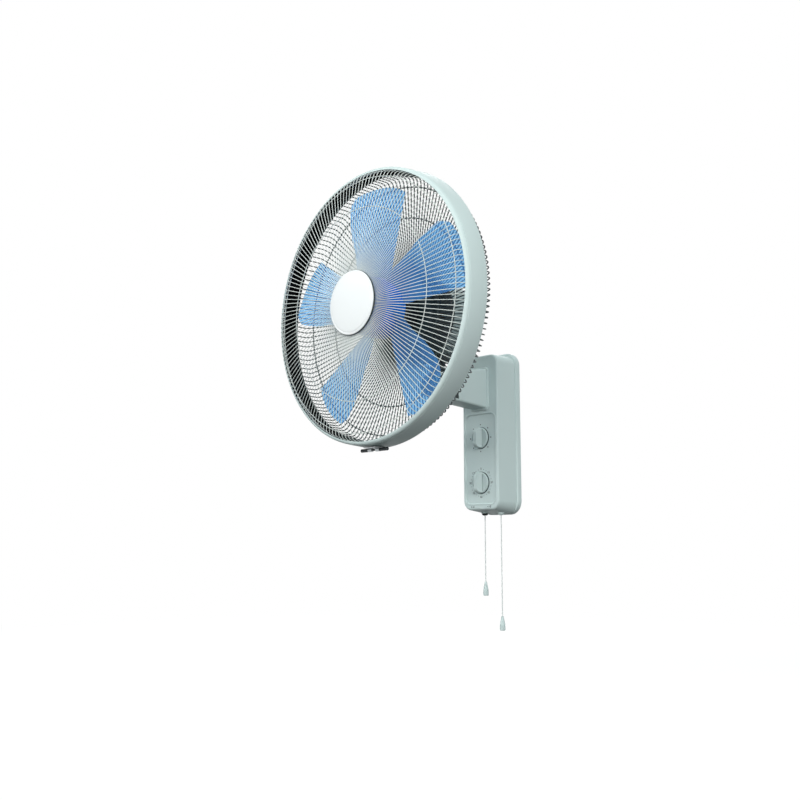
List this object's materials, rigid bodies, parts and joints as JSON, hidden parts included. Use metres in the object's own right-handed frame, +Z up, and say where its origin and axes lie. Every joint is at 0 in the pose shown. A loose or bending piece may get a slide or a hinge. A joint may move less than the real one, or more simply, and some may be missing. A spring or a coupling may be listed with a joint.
{
  "type": "wall mounted fan",
  "caption": "Wall mounted fan with a caged five blade propeller in a plastic band, a tilting and swinging head on a short arm, and a tall wall unit with knobs and pull cords.",
  "frame": {"origin": "middle of the wall plate's flat back face, on the wall", "axes": "+Z up, +Y into the wall, so the fan blows along -Y; +X is to the right seen from the front"},
  "size_m": [0.4498, 0.3594, 0.7459],
  "materials": {
    "pale_shell": "satin moulded plastic",
    "knob": "satin moulded plastic",
    "badge": "gloss plastic disc",
    "wire": "coated steel wire",
    "rear_wire": "darker coated steel wire of the rear cage",
    "blade": "tinted clear plastic",
    "motor_case": "dark moulded plastic",
    "gland": "soft dark grommet",
    "liner": "black liner strip",
    "dark_steel": "blackened steel",
    "steel": "bright steel",
    "core": "stacked iron core with windings",
    "bush": "sintered bush",
    "inner_plastic": "inner plastic parts",
    "cord": "thin woven pull cord"
  },
  "bodies": {
    "wall_unit": {"wall_plate": "pale_shell", "base_housing": "pale_shell", "arm": "pale_shell", "tilt_bolt": "steel", "tilt_knob": "motor_case", "grommet_left": "gland", "grommet_right": "gland", "speed_switch": "inner_plastic", "timer_unit": "inner_plastic", "pull_switch_left": "inner_plastic", "pull_switch_right": "inner_plastic", "terminal_block": "inner_plastic", "capacitor": "inner_plastic"},
    "neck": {"neck": "motor_case"},
    "head": {"motor_front": "motor_case", "motor_rear": "pale_shell", "stator": "core", "bush_front": "bush", "bush_rear": "bush", "swing_bracket": "motor_case", "swing_drive": "motor_case", "rear_guard": "rear_wire", "guard_nut": "motor_case", "front_guard": "wire", "guard_ring": "pale_shell", "ring_liner": "liner", "ring_clasp": "pale_shell", "clasp_screw": "dark_steel", "clasp_sleeve": "dark_steel", "medallion": "badge"},
    "rotor": {"fan_shaft": "steel", "rotor_core": "core", "propeller": "blade", "spinner": "blade"},
    "crank": {"swing_crank": "steel"},
    "link": {"swing_link": "steel"},
    "speed_knob": {"speed_knob": "knob"},
    "timer_knob": {"timer_knob": "knob"},
    "pull_left": {"pull_rod_left": "inner_plastic", "pull_cord_left": "cord", "pull_bell_left": "pale_shell"},
    "pull_right": {"pull_rod_right": "inner_plastic", "pull_cord_right": "cord", "pull_bell_right": "pale_shell"}
  },
  "joints": [
    {"name": "head_tilt", "type": "hinge", "parent": "wall_unit", "child": "neck", "pos_m": [0, -0.163, 0.068], "axis": [1, 0, 0], "range_deg": [-10, 20]},
    {"name": "head_swing", "type": "hinge", "parent": "neck", "child": "head", "pos_m": [0, -0.163, 0.1], "axis": [0, 0, 1], "range_deg": [-40, 40]},
    {"name": "fan_spin", "type": "hinge", "parent": "head", "child": "rotor", "pos_m": [0, -0.3, 0.178], "axis": [0, -1, 0], "continuous": true},
    {"name": "crank_turn", "type": "hinge", "parent": "head", "child": "crank", "pos_m": [0, -0.205, 0.1], "axis": [0, 0, 1], "range_deg": [-95, 95]},
    {"name": "link_turn", "type": "hinge", "parent": "neck", "child": "link", "pos_m": [-0.016, -0.163, 0.0975], "axis": [0, 0, 1], "range_deg": [-37, 37]},
    {"name": "speed_turn", "type": "hinge", "parent": "wall_unit", "child": "speed_knob", "pos_m": [0, -0.0577, -0.0142], "axis": [0, 1, 0], "range_deg": [0, 315]},
    {"name": "timer_turn", "type": "hinge", "parent": "wall_unit", "child": "timer_knob", "pos_m": [0, -0.0577, -0.0922], "axis": [0, 1, 0], "range_deg": [0, 315]},
    {"name": "pull_left_slide", "type": "slide", "parent": "wall_unit", "child": "pull_left", "axis": [0, 0, -1], "range_m": [0, 0.012], "stiffness_N_per_m": 500, "springref_m": -0.003},
    {"name": "pull_right_slide", "type": "slide", "parent": "wall_unit", "child": "pull_right", "axis": [0, 0, -1], "range_m": [0, 0.012], "stiffness_N_per_m": 500, "springref_m": -0.003}
  ],
  "couplings": [
    {"joint": "crank_turn", "follows": "head_swing", "ratio": -2.35},
    {"joint": "link_turn", "follows": "head_swing", "ratio": 0.9}
  ]
}
